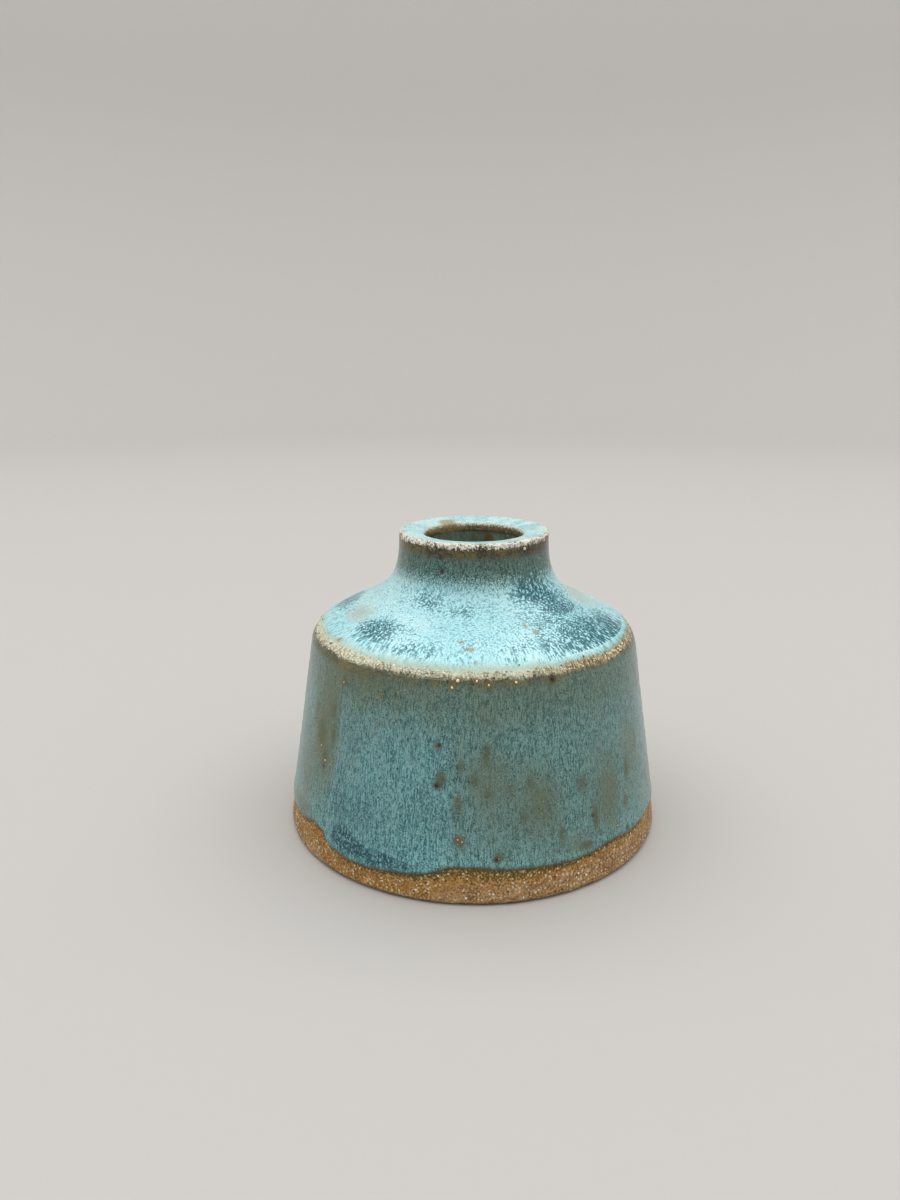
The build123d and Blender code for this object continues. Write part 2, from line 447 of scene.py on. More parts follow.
# Brown smears where the glaze ran thin over the wall: azimuth, height, half width and half height
# in millimetres, and strength. Those on the back of the pot are guessed in the same style.
SMEARS = [
    (-44.1, 38.2, 0.7, 1.0, 1.0), (-48.0, 31.8, 0.9, 1.9, 0.8), (-54.0, 26.2, 1.5, 3.0, 1.0),
    (-51.0, 22.0, 1.1, 2.2, 0.9), (-47.3, 27.0, 0.8, 2.4, 0.8), (-59.0, 30.0, 1.0, 1.8, 0.7),
    (-10.0, 30.0, 0.9, 1.1, 0.75), (-8.8, 23.9, 1.1, 1.7, 1.0), (-3.8, 18.8, 1.1, 1.9, 0.7),
    (-3.2, 12.4, 1.2, 1.6, 0.8), (0.5, 24.0, 1.1, 1.3, 0.75), (-3.2, 26.6, 0.8, 1.6, 0.7),
    (4.2, 28.6, 1.0, 2.2, 0.75), (10.9, 21.8, 1.1, 1.5, 0.6), (4.4, 21.3, 1.1, 1.2, 0.65),
    (16.8, 22.9, 0.8, 1.8, 0.65), (33.7, 20.6, 1.5, 2.2, 0.7), (54.0, 19.5, 0.8, 2.2, 0.95),
    (51.9, 13.5, 0.8, 1.8, 0.8), (37.8, 13.2, 0.8, 2.6, 1.0), (25.9, 12.2, 0.8, 1.8, 0.75),
    (14.6, 16.5, 0.9, 1.6, 0.6), (34.0, 8.6, 2.0, 0.9, 0.9), (7.5, 9.8, 1.3, 1.2, 0.7),
    (25.1, 41.3, 0.8, 1.1, 1.0), (62.0, 24.0, 1.0, 3.2, 0.6), (70.0, 14.0, 0.9, 2.6, 0.7),
    (96.0, 16.0, 1.0, 2.8, 0.8), (112.0, 29.0, 1.1, 3.2, 0.7), (125.0, 12.0, 0.9, 2.4, 0.8),
    (158.0, 20.0, 0.9, 2.6, 0.8), (176.0, 31.0, 1.0, 1.9, 0.7), (-165.0, 13.0, 1.0, 2.2, 0.9),
    (-137.0, 18.0, 0.9, 2.8, 0.7), (-118.0, 24.0, 1.1, 2.4, 0.8), (-101.0, 12.0, 1.0, 2.0, 0.8),
    (-88.0, 28.0, 1.0, 3.0, 0.7),
]
# Wide soft olive areas of thinner glaze on the wall, in the same terms.
HAZES = [
    (-53.0, 27.0, 4.4, 11.0, 1.0), (-62.0, 18.0, 5.0, 9.0, 0.7), (-63.0, 8.6, 6.0, 1.7, 1.0),
    (-36.0, 39.5, 9.0, 2.4, 0.7), (4.5, 24.0, 4.5, 6.0, 0.6), (20.0, 19.0, 4.0, 6.0, 0.8),
    (44.0, 16.5, 4.0, 8.0, 0.85), (30.0, 10.0, 6.0, 2.0, 0.6), (58.0, 22.0, 4.0, 9.0, 0.6),
    (139.0, 25.0, 3.4, 6.0, 0.6),
    (-150.0, 28.0, 3.6, 6.0, 0.6), (-104.0, 18.0, 4.0, 8.0, 0.5), (92.0, 22.0, 4.0, 8.0, 0.5),
]
# Where the thick glaze pooled dark on the shoulder, where it is thin and pale, and where it is
# bare and brown: azimuth, radius, half length round the pot, half length outwards, strength.
POOLS = [
    (-43.5, 26.4, 4.0, 2.4, 1.0), (-25.0, 29.3, 5.0, 1.6, 0.42), (-29.0, 18.8, 3.6, 1.2, 0.38),
    (-97.0, 27.0, 6.0, 2.2, 1.0), (50.0, 28.9, 8.8, 4.2, 1.05), (67.0, 29.9, 6.4, 3.6, 1.0),
    (43.0, 17.6, 4.4, 1.7, 0.95), (56.0, 20.6, 5.0, 2.6, 0.75), (118.0, 23.0, 5.0, 2.4, 0.7),
    (152.0, 27.0, 7.5, 3.0, 0.95), (-158.0, 25.0, 6.0, 2.8, 0.85), (-128.0, 27.0, 4.0, 2.0, 0.8),
    (-170.0, 18.5, 4.0, 1.4, 0.7), (-5.0, 19.5, 2.6, 0.8, 0.2), (38.0, 23.5, 4.5, 3.0, 0.5),
    (20.0, 28.5, 5.0, 2.0, 0.3),
]
THIN_PATCHES = [
    (-66.0, 25.2, 4.6, 2.8, 1.0), (93.0, 22.5, 6.5, 3.4, 1.0), (6.0, 22.6, 2.4, 1.0, 0.4),
    (13.2, 28.9, 2.0, 0.9, 0.45), (-52.0, 31.4, 3.6, 1.0, 0.7), (170.0, 22.0, 4.0, 2.0, 0.5),
    (-112.0, 24.0, 4.0, 2.0, 0.6),
]
RUBS = [
    (-149.0, 11.3, 1.9, 1.4, 1.1), (-65.0, 24.5, 1.0, 0.6, 0.5), (-4.8, 26.4, 0.8, 0.4, 0.9),
    (-0.9, 28.1, 1.0, 0.5, 1.0), (25.4, 23.1, 0.5, 0.8, 0.85), (28.4, 25.0, 0.7, 0.6, 0.95),
    (-55.5, 31.6, 0.8, 0.6, 0.95), (140.0, 22.0, 1.0, 0.7, 0.8), (-115.0, 24.0, 0.8, 0.6, 0.7),
    (1.0, 30.9, 0.4, 0.4, 0.8),
]
# Rust on the lining of the neck: azimuth, height, half width, half height, strength.
STAINS = [(162.0, 58.6, 1.0, 1.3, 1.0), (-60.0, 57.0, 0.9, 1.2, 0.8)]
# The darkest mottling at the foot of the lap: azimuth, height, half width, half height, strength.
LAP_POOLS = [
    (-39.0, 8.4, 2.6, 1.9, 1.1), (-34.0, 7.4, 3.4, 1.3, 1.0), (-26.0, 7.0, 3.6, 1.2, 1.0),
    (-18.5, 6.8, 2.2, 0.8, 0.5), (-42.0, 15.0, 2.5, 6.0, 0.35), (-33.0, 14.0, 4.0, 5.0, 0.3),
]
# White spots that stand out: azimuth, height, and radius in millimetres. The back of the pot has a
# few of its own.
WHITE_SPOTS = [
    (-53.6, 23.7, 0.26), (-59.0, 27.7, 0.22), (-50.4, 21.4, 0.28), (-56.0, 21.6, 0.24),
    (-47.5, 21.2, 0.20), (-3.9, 20.3, 0.24), (-3.7, 12.9, 0.30), (-2.6, 12.5, 0.2),
    (7.4, 9.3, 0.24), (46.8, 9.6, 0.24), (-28.5, 37.9, 0.20), (-4.5, 41.9, 0.31),
    (1.3, 41.9, 0.29), (5.0, 41.2, 0.32), (13.4, 41.5, 0.27), (-6.1, 40.7, 0.27),
    (-44.6, 37.9, 0.26), (104.0, 19.0, 0.26), (121.0, 30.5, 0.22),
    (147.0, 18.0, 0.28), (166.0, 11.0, 0.24), (-171.0, 26.0, 0.22), (-132.0, 13.5, 0.28),
    (-109.0, 29.0, 0.24), (-80.0, 17.0, 0.26),
]
# Chips of pale grog in the rim: azimuth, distance along from the rim's edge, and radius.
CHIPS = [
    (40.5, -0.2, 0.60), (38.0, 0.0, 0.40), (43.2, -0.1, 0.44), (39.8, -1.4, 0.32),
    (12.0, -0.3, 0.26), (-5.0, -0.3, 0.26), (-1.0, -0.4, 0.24), (-33.0, -0.5, 0.26),
]
# Iron, in the same terms as the white spots.
IRON_SPOTS = [
    (-23.7, 59.9, 0.24), (-22.6, 57.4, 0.28), (-9.9, 22.8, 0.40), (-9.4, 30.2, 0.22),
    (6.8, 9.1, 0.34), (25.4, 41.4, 0.42), (36.7, 14.0, 0.24), (51.7, 8.0, 0.38),
    (-51.0, 20.0, 0.26), (98.0, 27.0, 0.34), (134.0, 11.5, 0.40), (171.0, 33.0, 0.30),
    (-118.0, 15.5, 0.36), (-86.0, 31.0, 0.28),
]


def blots(marks, azimuth, along, radius):
    """The strongest of many soft oval marks, each at an azimuth and a place along."""
    softness = 0.7
    total = np.zeros(azimuth.shape)
    for turned, middle, half_across, half_along, strength in marks:
        away = wrapped(azimuth - math.radians(turned))
        far = (away * radius / half_across) ** 2 + ((along - middle) / half_along) ** 2
        total = np.maximum(total, strength * np.exp(-softness * far))
    return total


# ======== Meshes ========


def place(azimuth, radius, level):
    """Points from azimuth, radius and height, with the thrower's wobble."""
    out, lifted = wobble(azimuth, level)
    return on_circle(azimuth, radius + out * step(radius, 2.0, 10.0), level + lifted)


def grid_faces(rows, columns, wrap_rows, wrap_columns):
    """Quads of a grid of points, closed in either direction if asked."""
    r = np.arange(rows if wrap_rows else rows - 1)[:, None]
    c = np.arange(columns if wrap_columns else columns - 1)[None, :]
    r2, c2 = (r + 1) % rows, (c + 1) % columns
    quads = np.stack([r * columns + c, r * columns + c2, r2 * columns + c2, r2 * columns + c], -1)
    return quads.reshape(-1, 4)


def cap_faces(pole, first, columns):
    """Triangles from one pole point to a ring of points that starts at this index."""
    return [(pole, first + i, first + (i + 1) % columns) for i in range(columns)]


def make_piece(name, points, faces, material, values):
    """A mesh object from points in millimetres, with named values stored on its points."""
    mesh = bpy.data.meshes.new(name)
    mesh.from_pydata((points * MM).tolist(), [], [tuple(f) for f in faces])
    for key, data in values.items():
        data = np.asarray(data, np.float32)
        kind = "FLOAT_VECTOR" if data.ndim == 2 else "FLOAT"
        layer = mesh.attributes.new(key, kind, "POINT")
        layer.data.foreach_set("vector" if data.ndim == 2 else "value", data.ravel())
    work = bmesh.new()
    work.from_mesh(mesh)
    bmesh.ops.recalc_face_normals(work, faces=work.faces)
    work.to_mesh(mesh)
    work.free()
    mesh.shade_smooth()
    mesh.materials.append(material)
    piece = bpy.data.objects.new(name, mesh)
    bpy.context.scene.collection.objects.link(piece)
    return piece


def turned_space(azimuth, run, radius):
    """Pattern space: round the pot by azimuth on a circle of about the local size, up by run."""
    return on_circle(azimuth, 15.0 + 20.0 * step(radius, 14.0, 30.0), run)


def spread(stretches):
    """Distances along an outline, from (start, end, step) stretches that follow each other."""
    runs = [np.linspace(a, b, max(1, round((b - a) / d)), endpoint=False) for a, b, d in stretches]
    return np.concatenate(runs + [[stretches[-1][1]]])


def turned_grid(runs, columns):
    """Azimuth and distance along, at every point of a grid turned round the axis."""
    return np.meshgrid(np.linspace(0, FULL_TURN, columns, endpoint=False), runs)


def clay_piece(material):
    """The fired clay, whole: underside, foot, and the body hidden behind the glazes."""
    outline = clay_outline()
    ring, wall = outline.marks["ring"], outline.marks["wall"]
    bare = wall + 8.5  # the clay is seen up to here
    runs = spread([
        (1.0, ring - 2.5, 1.0),
        (ring - 2.5, wall, 0.3),
        (wall, bare, 0.3),
        (bare, outline.length - 1.0, 3.0),
    ])
    a, s = turned_grid(runs, AROUND)
    radius, level = outline.at(s)
    flat = on_circle(a, radius, level)
    seen = step(s, wall + 10.0, wall + 8.0)
    depth, spacing = 0.05, 2.3  # of the turning marks underneath
    turning = depth * np.sin(radius * 2 * math.pi / spacing + a) * step(level, 1.2, 0.9)
    resting = step(level, 0.0, 0.6) + step(radius, RECESS_RADIUS, RECESS_RADIUS - 1.5)
    lift = (layered(flat, CLAY_GRAIN) + turning) * seen * np.clip(resting, 0, 1)
    lifted_radius, lifted_level = outline.off(s, lift)
    grid = place(a, lifted_radius, np.maximum(lifted_level, 0.0)).reshape(-1, 3)
    poles = np.array([[0, 0, RECESS_DEPTH], [0, 0, FLOOR_HEIGHT]])
    faces = grid_faces(len(runs), AROUND, False, True).tolist()
    faces += cap_faces(len(grid), 0, AROUND)
    faces += cap_faces(len(grid) + 1, len(grid) - AROUND, AROUND)
    lap = lap_line(a)
    glaze_line = np.minimum(dip_line(a), np.where(lap < NO_LAP, lap, math.inf))
    below = glaze_line - level + 4.0 * step(level, 1.2, 0.2)
    facing = wrapped(a)
    reach = 2.6 + 4.0 * bump(facing, -0.55, 0.62) + 1.0 * noise(flat, 6.0, 43)
    soot = 0.8 + 2.0 * bump(facing, 0.08, 0.26) + 0.9 * bump(facing, -2.2, 0.5)
    far = 9.0  # the poles lie far from the glaze line
    values = {
        "ochre": np.append((below / reach).ravel(), [far, far]),
        "soot": np.append((below / soot).ravel(), [far, far]),
    }
    return make_piece("clay_body_fired", np.vstack([grid, poles]), faces, material, values)


def edge_roll(above):
    """Lift of a glaze's surface near its lower edge: up from inside the clay to a thick soft roll."""
    start, climb, roll = 0.50, 0.20, 0.10
    rise = 1 - np.exp(-np.maximum(above, 0) / climb)
    return -start * (1 - rise) + roll * bump(above, 1.0, 1.2)


def coat_values(outline, a, s, above, lap):
    """The values that the glaze's material reads: where a point lies, and the marks it carries."""
    radius, level = outline.at(s)
    on_wall = step(s, outline.marks["ridge_end"], outline.marks["ridge"])
    degrees = in_degrees(a)
    wall_pools = blots(LAP_POOLS, a, level, radius) * lap
    values = {
        # where the ridge breaks golden, and where it breaks wide and pale
        "gold": step(degrees, 14.0, 40.0) * step(degrees, 150.0, 120.0) + bump(degrees, -140, 25),
        "wide": step(degrees, -20.0, -45.0) * step(degrees, -110.0, -80.0),
        "above_line": above,
        "lap": np.broadcast_to(lap, a.shape),
        "smear": blots(SMEARS, a, level, radius) * on_wall,
        "haze": blots(HAZES, a, level, radius) * on_wall,
        "pool": np.where(on_wall > 0, wall_pools, blots(POOLS, a, radius, radius)),
        "thin": blots(THIN_PATCHES, a, radius, radius) * (1 - on_wall),
        "rub": blots(RUBS, a, radius, radius) * (1 - on_wall),
    }
    for mark in ("ridge", "rim", "lip"):
        values["from_" + mark] = s - outline.marks[mark]
    values = {name: data.ravel() for name, data in values.items()}
    values["turned"] = turned_space(a, s, radius).reshape(-1, 3)
    return values


def outer_glaze_piece(material):
    """The dipped coat: a closed skin from the glaze line over the rim and just into the bore."""
    outline = glazed_outline()
    start = outline.run_at_height(GLAZE_LINE, "ridge")
    ridge, rim, end = outline.marks["ridge"], outline.marks["rim"], outline.length
    face = spread([
        (start, start + 3.0, 0.25),
        (start + 3.0, ridge - 4.0, 0.55),
        (ridge - 4.0, ridge + 3.5, 0.30),
        (ridge + 3.5, rim - 4, 0.6),
        (rim - 4, rim + 1.5, 0.28),
        (rim + 1.5, end, 0.35),
    ])
    # the hidden face follows closely where the outline is hollow, so that it never shows through
    hollow = np.arange(outline.marks["top"], outline.marks["ridge_end"], -2.2)
    runs = np.concatenate([face, [end], hollow, [ridge, start]])
    a, s = turned_grid(runs, AROUND)
    is_back = (np.arange(len(runs)) >= len(face))[:, None]
    edge = (dip_line(a) - GLAZE_LINE) / math.cos(LEAN)
    s = s + edge * step(s, start + 9.0, start)
    above = s - start - edge
    radius, level = outline.at(s)
    space = turned_space(a, s, radius)
    rough = np.maximum(bump(s, ridge, 2.0), bump(s, rim, 1.0))
    uneven = layered(space, GLAZE_RIPPLE) + rough * layered(space, GLAZE_GRIT)
    thin = 0.12 * bump(s, ridge, 1.8) + 0.08 * bump(s, rim, 0.9)
    tuck = 0.25 * step(s, end - 0.6, end)
    lift = np.where(is_back, -COAT_BACK, edge_roll(above) + uneven - thin - tuck)
    points = place(a, *outline.off(s, lift)).reshape(-1, 3)
    faces = grid_faces(len(runs), AROUND, True, True)
    values = coat_values(outline, a, s, above, lap_cover(a, level))
    return make_piece("outer_glaze_coat", points, faces, material, values)


def border_of(rows, columns):
    """Indices of a grid's points all the way round its border."""
    count = rows * columns
    border = list(range(columns))
    border += [i * columns + columns - 1 for i in range(1, rows)]
    border += list(range(count - 2, count - columns - 1, -1))
    return border + [i * columns for i in range(rows - 2, 0, -1)]


def glaze_lap_piece(material):
    """The second dip on the front left: a patch that fades into the first coat at its borders."""
    outline = glazed_outline()
    columns, rows = 200, 150
    azimuth = np.radians(np.linspace(LAP_LEFT, LAP_RIGHT, columns))
    upward = np.linspace(0, 1, rows) ** 1.15  # rows lie closer together near the lower edge
    a = np.broadcast_to(azimuth, (rows, columns))
    low = outline.run_at_height(lap_line(azimuth), "ridge")
    high = outline.run_at_height(LAP_TOP, "ridge_end")
    s = low + (high - low) * upward[:, None]
    above = s - low
    radius, level = outline.at(s)
    uneven = layered(turned_space(a, s, radius), GLAZE_RIPPLE)
    front = edge_roll(above) + uneven + lap_lift(a, level, above)
    back = np.full(front.shape, -LAP_BACK)
    points = [place(a, *outline.off(s, lift)).reshape(-1, 3) for lift in (front, back)]
    count = rows * columns
    border = border_of(rows, columns)
    ends = zip(border, border[1:] + border[:1], strict=True)
    walls = [(p, q, q + count, p + count) for p, q in ends]
    faces = grid_faces(rows, columns, False, False)
    faces = faces.tolist() + (faces[:, ::-1] + count).tolist() + walls
    values = coat_values(outline, a, s, above, lap_cover(a, level))
    values = {name: np.concatenate([data, data]) for name, data in values.items()}
    return make_piece("glaze_lap_coat", np.vstack(points), faces, material, values)


def liner_piece(material):
    """The glaze poured inside, as a closed skin over the bore, the inside of the wall and the floor."""
    outline = lining_outline()
    face = spread([(0.0, 3.0, 0.3), (3.0, 14.0, 0.8), (14.0, outline.length - 1.0, 2.0)])
    runs = np.concatenate([face, face[::-1]])
    a, s = turned_grid(runs, INSIDE_AROUND)
    is_back = (np.arange(len(runs)) >= len(face))[:, None]
    radius, level = outline.at(s)
    uneven = layered(on_circle(a, radius, level), LINING_RIPPLE)
    sunk = 0.1  # the hidden face lies this far inside the clay
    lift = np.where(is_back, -LINING - sunk, uneven)
    grid = place(a, *outline.off(s, lift)).reshape(-1, 3)
    # the two faces join high in the bore, and each ends in a pole at the floor's middle
    face_end, back_start = len(grid) // 2 - INSIDE_AROUND, len(grid) // 2
    faces = grid_faces(len(runs), INSIDE_AROUND, True, True).tolist()
    faces = faces[:face_end] + faces[back_start:]
    poles = np.array([[0, 0, FLOOR_HEIGHT + LINING], [0, 0, FLOOR_HEIGHT - sunk]])
    faces += cap_faces(len(grid), face_end, INSIDE_AROUND)
    faces += cap_faces(len(grid) + 1, back_start, INSIDE_AROUND)
    stain = blots(STAINS, a, level, radius) * step(radius, 14.0, 12.0)
    far = 99.0  # the poles lie far from the lip
    values = {
        "turned": np.vstack([turned_space(a, s, radius).reshape(-1, 3), np.zeros((2, 3))]),
        "from_top": np.append(s.ravel(), [far, far]),
        "stain": np.append(stain.ravel(), [0, 0]),
    }
    return make_piece("liner_glaze_coat", np.vstack([grid, poles]), faces, material, values)


# ======== Grains and specks ========


def ball(divisions):
    """Points and triangles of a small geodesic ball of radius 1."""
    work = bmesh.new()
    bmesh.ops.create_icosphere(work, subdivisions=divisions, radius=1.0)
    work.verts.ensure_lookup_table()
    points = np.array([v.co for v in work.verts])
    faces = np.array([[v.index for v in f.verts] for f in work.faces])
    work.free()
    return points, faces


def grain_group(name, seats, material, divisions, seed):
    """Many small lumps in one piece.

    Each seat is (azimuth, run, outline, radius, sink, flatness, range of paleness).
    """
    rng = np.random.default_rng(seed)
    shape, triangles = ball(divisions)
    points, faces, tones = [], [], []
    for azimuth, run, outline, size, sink, flatness, paleness in seats:
        lump = shape * (1 + 0.22 * noise(shape * 1.3 + rng.uniform(0, 30, 3), 1.0, seed)[:, None])
        lump = lump * size * rng.uniform(0.75, 1.2, 3)
        out, up = outline.normal(run)
        centre = place(np.array(azimuth), *outline.off(run, -sink))
        turn = Matrix.Rotation(azimuth, 3, "Z")
        normal = turn @ Vector((0, -out, up))
        spin = Vector((0, 0, 1)).rotation_difference(normal).to_matrix()
        spin = spin @ Matrix.Rotation(rng.uniform(0, FULL_TURN), 3, "Z")
        lump[:, 2] *= flatness
        faces.append(triangles + len(points) * len(shape))
        points.append(lump @ np.array(spin).T + centre)
        tones.append(np.full(len(lump), rng.uniform(*paleness)))
    values = {"tone": np.concatenate(tones)}
    return make_piece(name, np.vstack(points), np.vstack(faces), material, values)


def band_seats(rng, count, outline, low, high, sizes, sink, flatness=0.8, paleness=(0, 1)):
    """Seats scattered all round the pot between two distances along an outline."""
    seats = []
    for _ in range(count):
        size = rng.uniform(*sizes)
        azimuth = rng.uniform(0, FULL_TURN)
        run = rng.triangular(low, (low + high) / 2, high)
        seats.append((azimuth, run, outline, size, sink * size, flatness, paleness))
    return seats


def spot_seat(outline, azimuth, level, size, sink, flatness=0.8):
    """One seat at an azimuth in degrees and a height, on top of the lap if it is there."""
    run = outline.run_at_height(level, "rim")
    turned = np.array(math.radians(azimuth))
    lifted = 0.0
    if LAP_LEFT < azimuth < LAP_RIGHT:
        lifted = max(0.0, float(lap_lift(turned, np.array(level), level - lap_line(turned))))
    return (math.radians(azimuth), run, outline, size, sink * size - lifted, flatness, (0.7, 1))


def grog_piece(material):
    """Pale grog: thick along the ridge and the rim, fine in the bare foot, rare on the wall."""
    rng = np.random.default_rng(71)
    coat, clay = glazed_outline(), clay_outline()
    ridge, rim, lip = (coat.marks[name] for name in ("ridge", "rim", "lip"))
    wall = clay.marks["wall"]
    coarse, fine = (0.12, 0.28), (0.12, 0.24)
    seats = band_seats(rng, 380, coat, ridge - 0.6, ridge + 1.4, coarse, 0.8, paleness=(0.35, 1))
    seats += band_seats(rng, 240, coat, rim - 0.6, rim + 0.5, coarse, 0.6, paleness=(0.6, 1))
    seats += band_seats(rng, 90, coat, lip - 0.4, lip + 0.7, fine, 0.8, paleness=(0.5, 1))
    seats += band_seats(rng, 620, clay, wall - 1.2, wall + 5.6, (0.10, 0.28), 0.5)
    seats += [spot_seat(coat, *spot, sink=0.62) for spot in WHITE_SPOTS]
    for azimuth, along, size in CHIPS:
        proud = -0.1 * size
        seats.append((math.radians(azimuth), rim + along, coat, size, proud, 0.7, (0.9, 1)))
    return grain_group("grog_grain_group", seats, material, 2, 72)


def iron_piece(material):
    """Iron specks: the larger spots listed one by one, the finer ones scattered."""
    rng = np.random.default_rng(81)
    coat, clay = glazed_outline(), clay_outline()
    ridge, rim, wall = coat.marks["ridge"], coat.marks["rim"], clay.marks["wall"]
    seats = [spot_seat(coat, *spot, sink=0.12, flatness=0.40) for spot in IRON_SPOTS]
    seats += band_seats(rng, 80, coat, ridge - 1.4, ridge + 2.6, (0.10, 0.22), 0.15, 0.5)
    seats += band_seats(rng, 40, coat, rim - 1.8, rim, (0.10, 0.18), 0.15, 0.5)
    seats += band_seats(rng, 90, clay, wall - 0.8, wall + 5.4, (0.10, 0.20), 0.2, 0.5)
    return grain_group("iron_speck_group", seats, material, 1, 82)


# ======== Materials ========


class Recipe:
    """A material's node tree, with short ways to add and join its nodes."""

    def __init__(self, name):
        self.material = bpy.data.materials.new(name)
        self.material.use_nodes = True
        self.tree = self.material.node_tree
        self.tree.nodes.clear()
        self.shader = self.tree.nodes.new("ShaderNodeBsdfPrincipled")
        output = self.tree.nodes.new("ShaderNodeOutputMaterial")
        self.tree.links.new(self.shader.outputs["BSDF"], output.inputs["Surface"])

    def feed(self, socket, value):
        """Join a socket to another node's output, or set it to a plain value."""
        if isinstance(value, bpy.types.NodeSocket):
            self.tree.links.new(value, socket)
        elif isinstance(value, tuple) and socket.type == "RGBA":
            socket.default_value = (*value, 1.0)
        else:
            socket.default_value = value

    def stored(self, name):
        """The node that reads what is stored on the mesh's points under a name."""
        node = self.tree.nodes.new("ShaderNodeAttribute")
        node.attribute_name = name
        return node

    def value(self, name):
        """A number stored on the mesh's points."""
        return self.stored(name).outputs["Fac"]

    def space(self, name):
        """A position stored on the mesh's points."""
        return self.stored(name).outputs["Vector"]

    def place(self):
        """The point's own position, in millimetres."""
        node = self.tree.nodes.new("ShaderNodeTexCoord")
        return self.stretch(node.outputs["Object"], (1 / MM, 1 / MM, 1 / MM))

    def vector(self, operation, a, b):
        """A node that works on two vectors."""
        node = self.tree.nodes.new("ShaderNodeVectorMath")
        node.operation = operation
        self.feed(node.inputs[0], a)
        self.feed(node.inputs[1], b)
        return node

    def stretch(self, vector, scale):
        return self.vector("MULTIPLY", vector, scale).outputs["Vector"]

    def noise_node(self, vector, lump, detail):
        """A noise node, its lumps of this size in the vector's units."""
        node = self.tree.nodes.new("ShaderNodeTexNoise")
        self.feed(node.inputs["Vector"], vector)
        node.inputs["Scale"].default_value = 1.0 / lump
        node.inputs["Detail"].default_value = detail
        return node

    def noise(self, vector, lump, detail=2.0, rough=0.5):
        """Smooth noise from 0 to 1, with lumps of this size in the vector's units."""
        node = self.noise_node(vector, lump, detail)
        node.inputs["Roughness"].default_value = rough
        return node.outputs["Fac"]

    def warp(self, vector, lump, reach):
        """The same place, pushed about by noise as far as reach."""
        node = self.noise_node(vector, lump, 1.0)
        push = self.vector("MULTIPLY_ADD", node.outputs["Color"], (2 * reach,) * 3)
        self.feed(push.inputs[2], vector)
        return push.outputs["Vector"]

    def cells(self, vector, size):
        """Distance from the middle of scattered cells, and each cell's own random colour."""
        node = self.tree.nodes.new("ShaderNodeTexVoronoi")
        self.feed(node.inputs["Vector"], vector)
        node.inputs["Scale"].default_value = 1.0 / size
        return node.outputs["Distance"], node.outputs["Color"]

    def channel(self, colour, index):
        """One of a colour's three parts."""
        node = self.tree.nodes.new("ShaderNodeSeparateColor")
        self.feed(node.inputs[0], colour)
        return node.outputs[index]

    def some(self, cells, edge, index, chosen):
        """Dots in some of the cells: their soft edge, and which random numbers are chosen."""
        distance, random = cells
        dot = self.step(distance, *edge)
        return self.times(dot, self.step(self.channel(random, index), *chosen))

    def math(self, operation, a, b):
        node = self.tree.nodes.new("ShaderNodeMath")
        node.operation = operation
        self.feed(node.inputs[0], a)
        self.feed(node.inputs[1], b)
        return node.outputs["Value"]

    def times(self, a, b):
        return self.math("MULTIPLY", a, b)

    def larger(self, a, b):
        return self.math("MAXIMUM", a, b)

    def sum(self, *parts):
        """The sum of plain numbers, values, and values with how much of each: (value, amount)."""
        total = None
        for part in parts:
            part = self.times(*part) if isinstance(part, tuple) else part
            total = part if total is None else self.math("ADD", total, part)
        return total

    def step(self, value, low, high):
        """0 at low, 1 at high, smooth between; low may be above high."""
        node = self.tree.nodes.new("ShaderNodeMapRange")
        node.interpolation_type = "SMOOTHSTEP"
        self.feed(node.inputs["Value"], value)
        if low > high:
            low, high = high, low
            node.inputs["To Min"].default_value = 1.0
            node.inputs["To Max"].default_value = 0.0
        node.inputs["From Min"].default_value = low
        node.inputs["From Max"].default_value = high
        return node.outputs["Result"]

    def band(self, value, low, rise, fall, high):
        """1 between rise and fall, 0 outside low and high."""
        return self.times(self.step(value, low, rise), self.step(value, high, fall))

    def mix(self, amount, a, b):
        """Colour a where the amount is 0, b where it is 1."""
        node = self.tree.nodes.new("ShaderNodeMix")
        node.data_type = "RGBA"
        self.feed(node.inputs[0], amount)
        self.feed(node.inputs[6], a)
        self.feed(node.inputs[7], b)
        return node.outputs[2]

    def tint(self, colour, strength, amount, other):
        """The colour, turned towards another by at most this strength where the amount is 1."""
        return self.mix(self.times(amount, strength), colour, other)

    def relief(self, height):
        """Bump from a height in millimetres."""
        node = self.tree.nodes.new("ShaderNodeBump")
        node.inputs["Strength"].default_value = 1.0
        node.inputs["Distance"].default_value = MM
        self.feed(node.inputs["Height"], height)
        self.tree.links.new(node.outputs["Normal"], self.shader.inputs["Normal"])

    def finish(self, colour, roughness, ior=1.5):
        self.feed(self.shader.inputs["Base Color"], colour)
        self.feed(self.shader.inputs["Roughness"], roughness)
        self.shader.inputs["IOR"].default_value = ior
        self.shader.inputs["Specular IOR Level"].default_value = 0.42
        return self.material


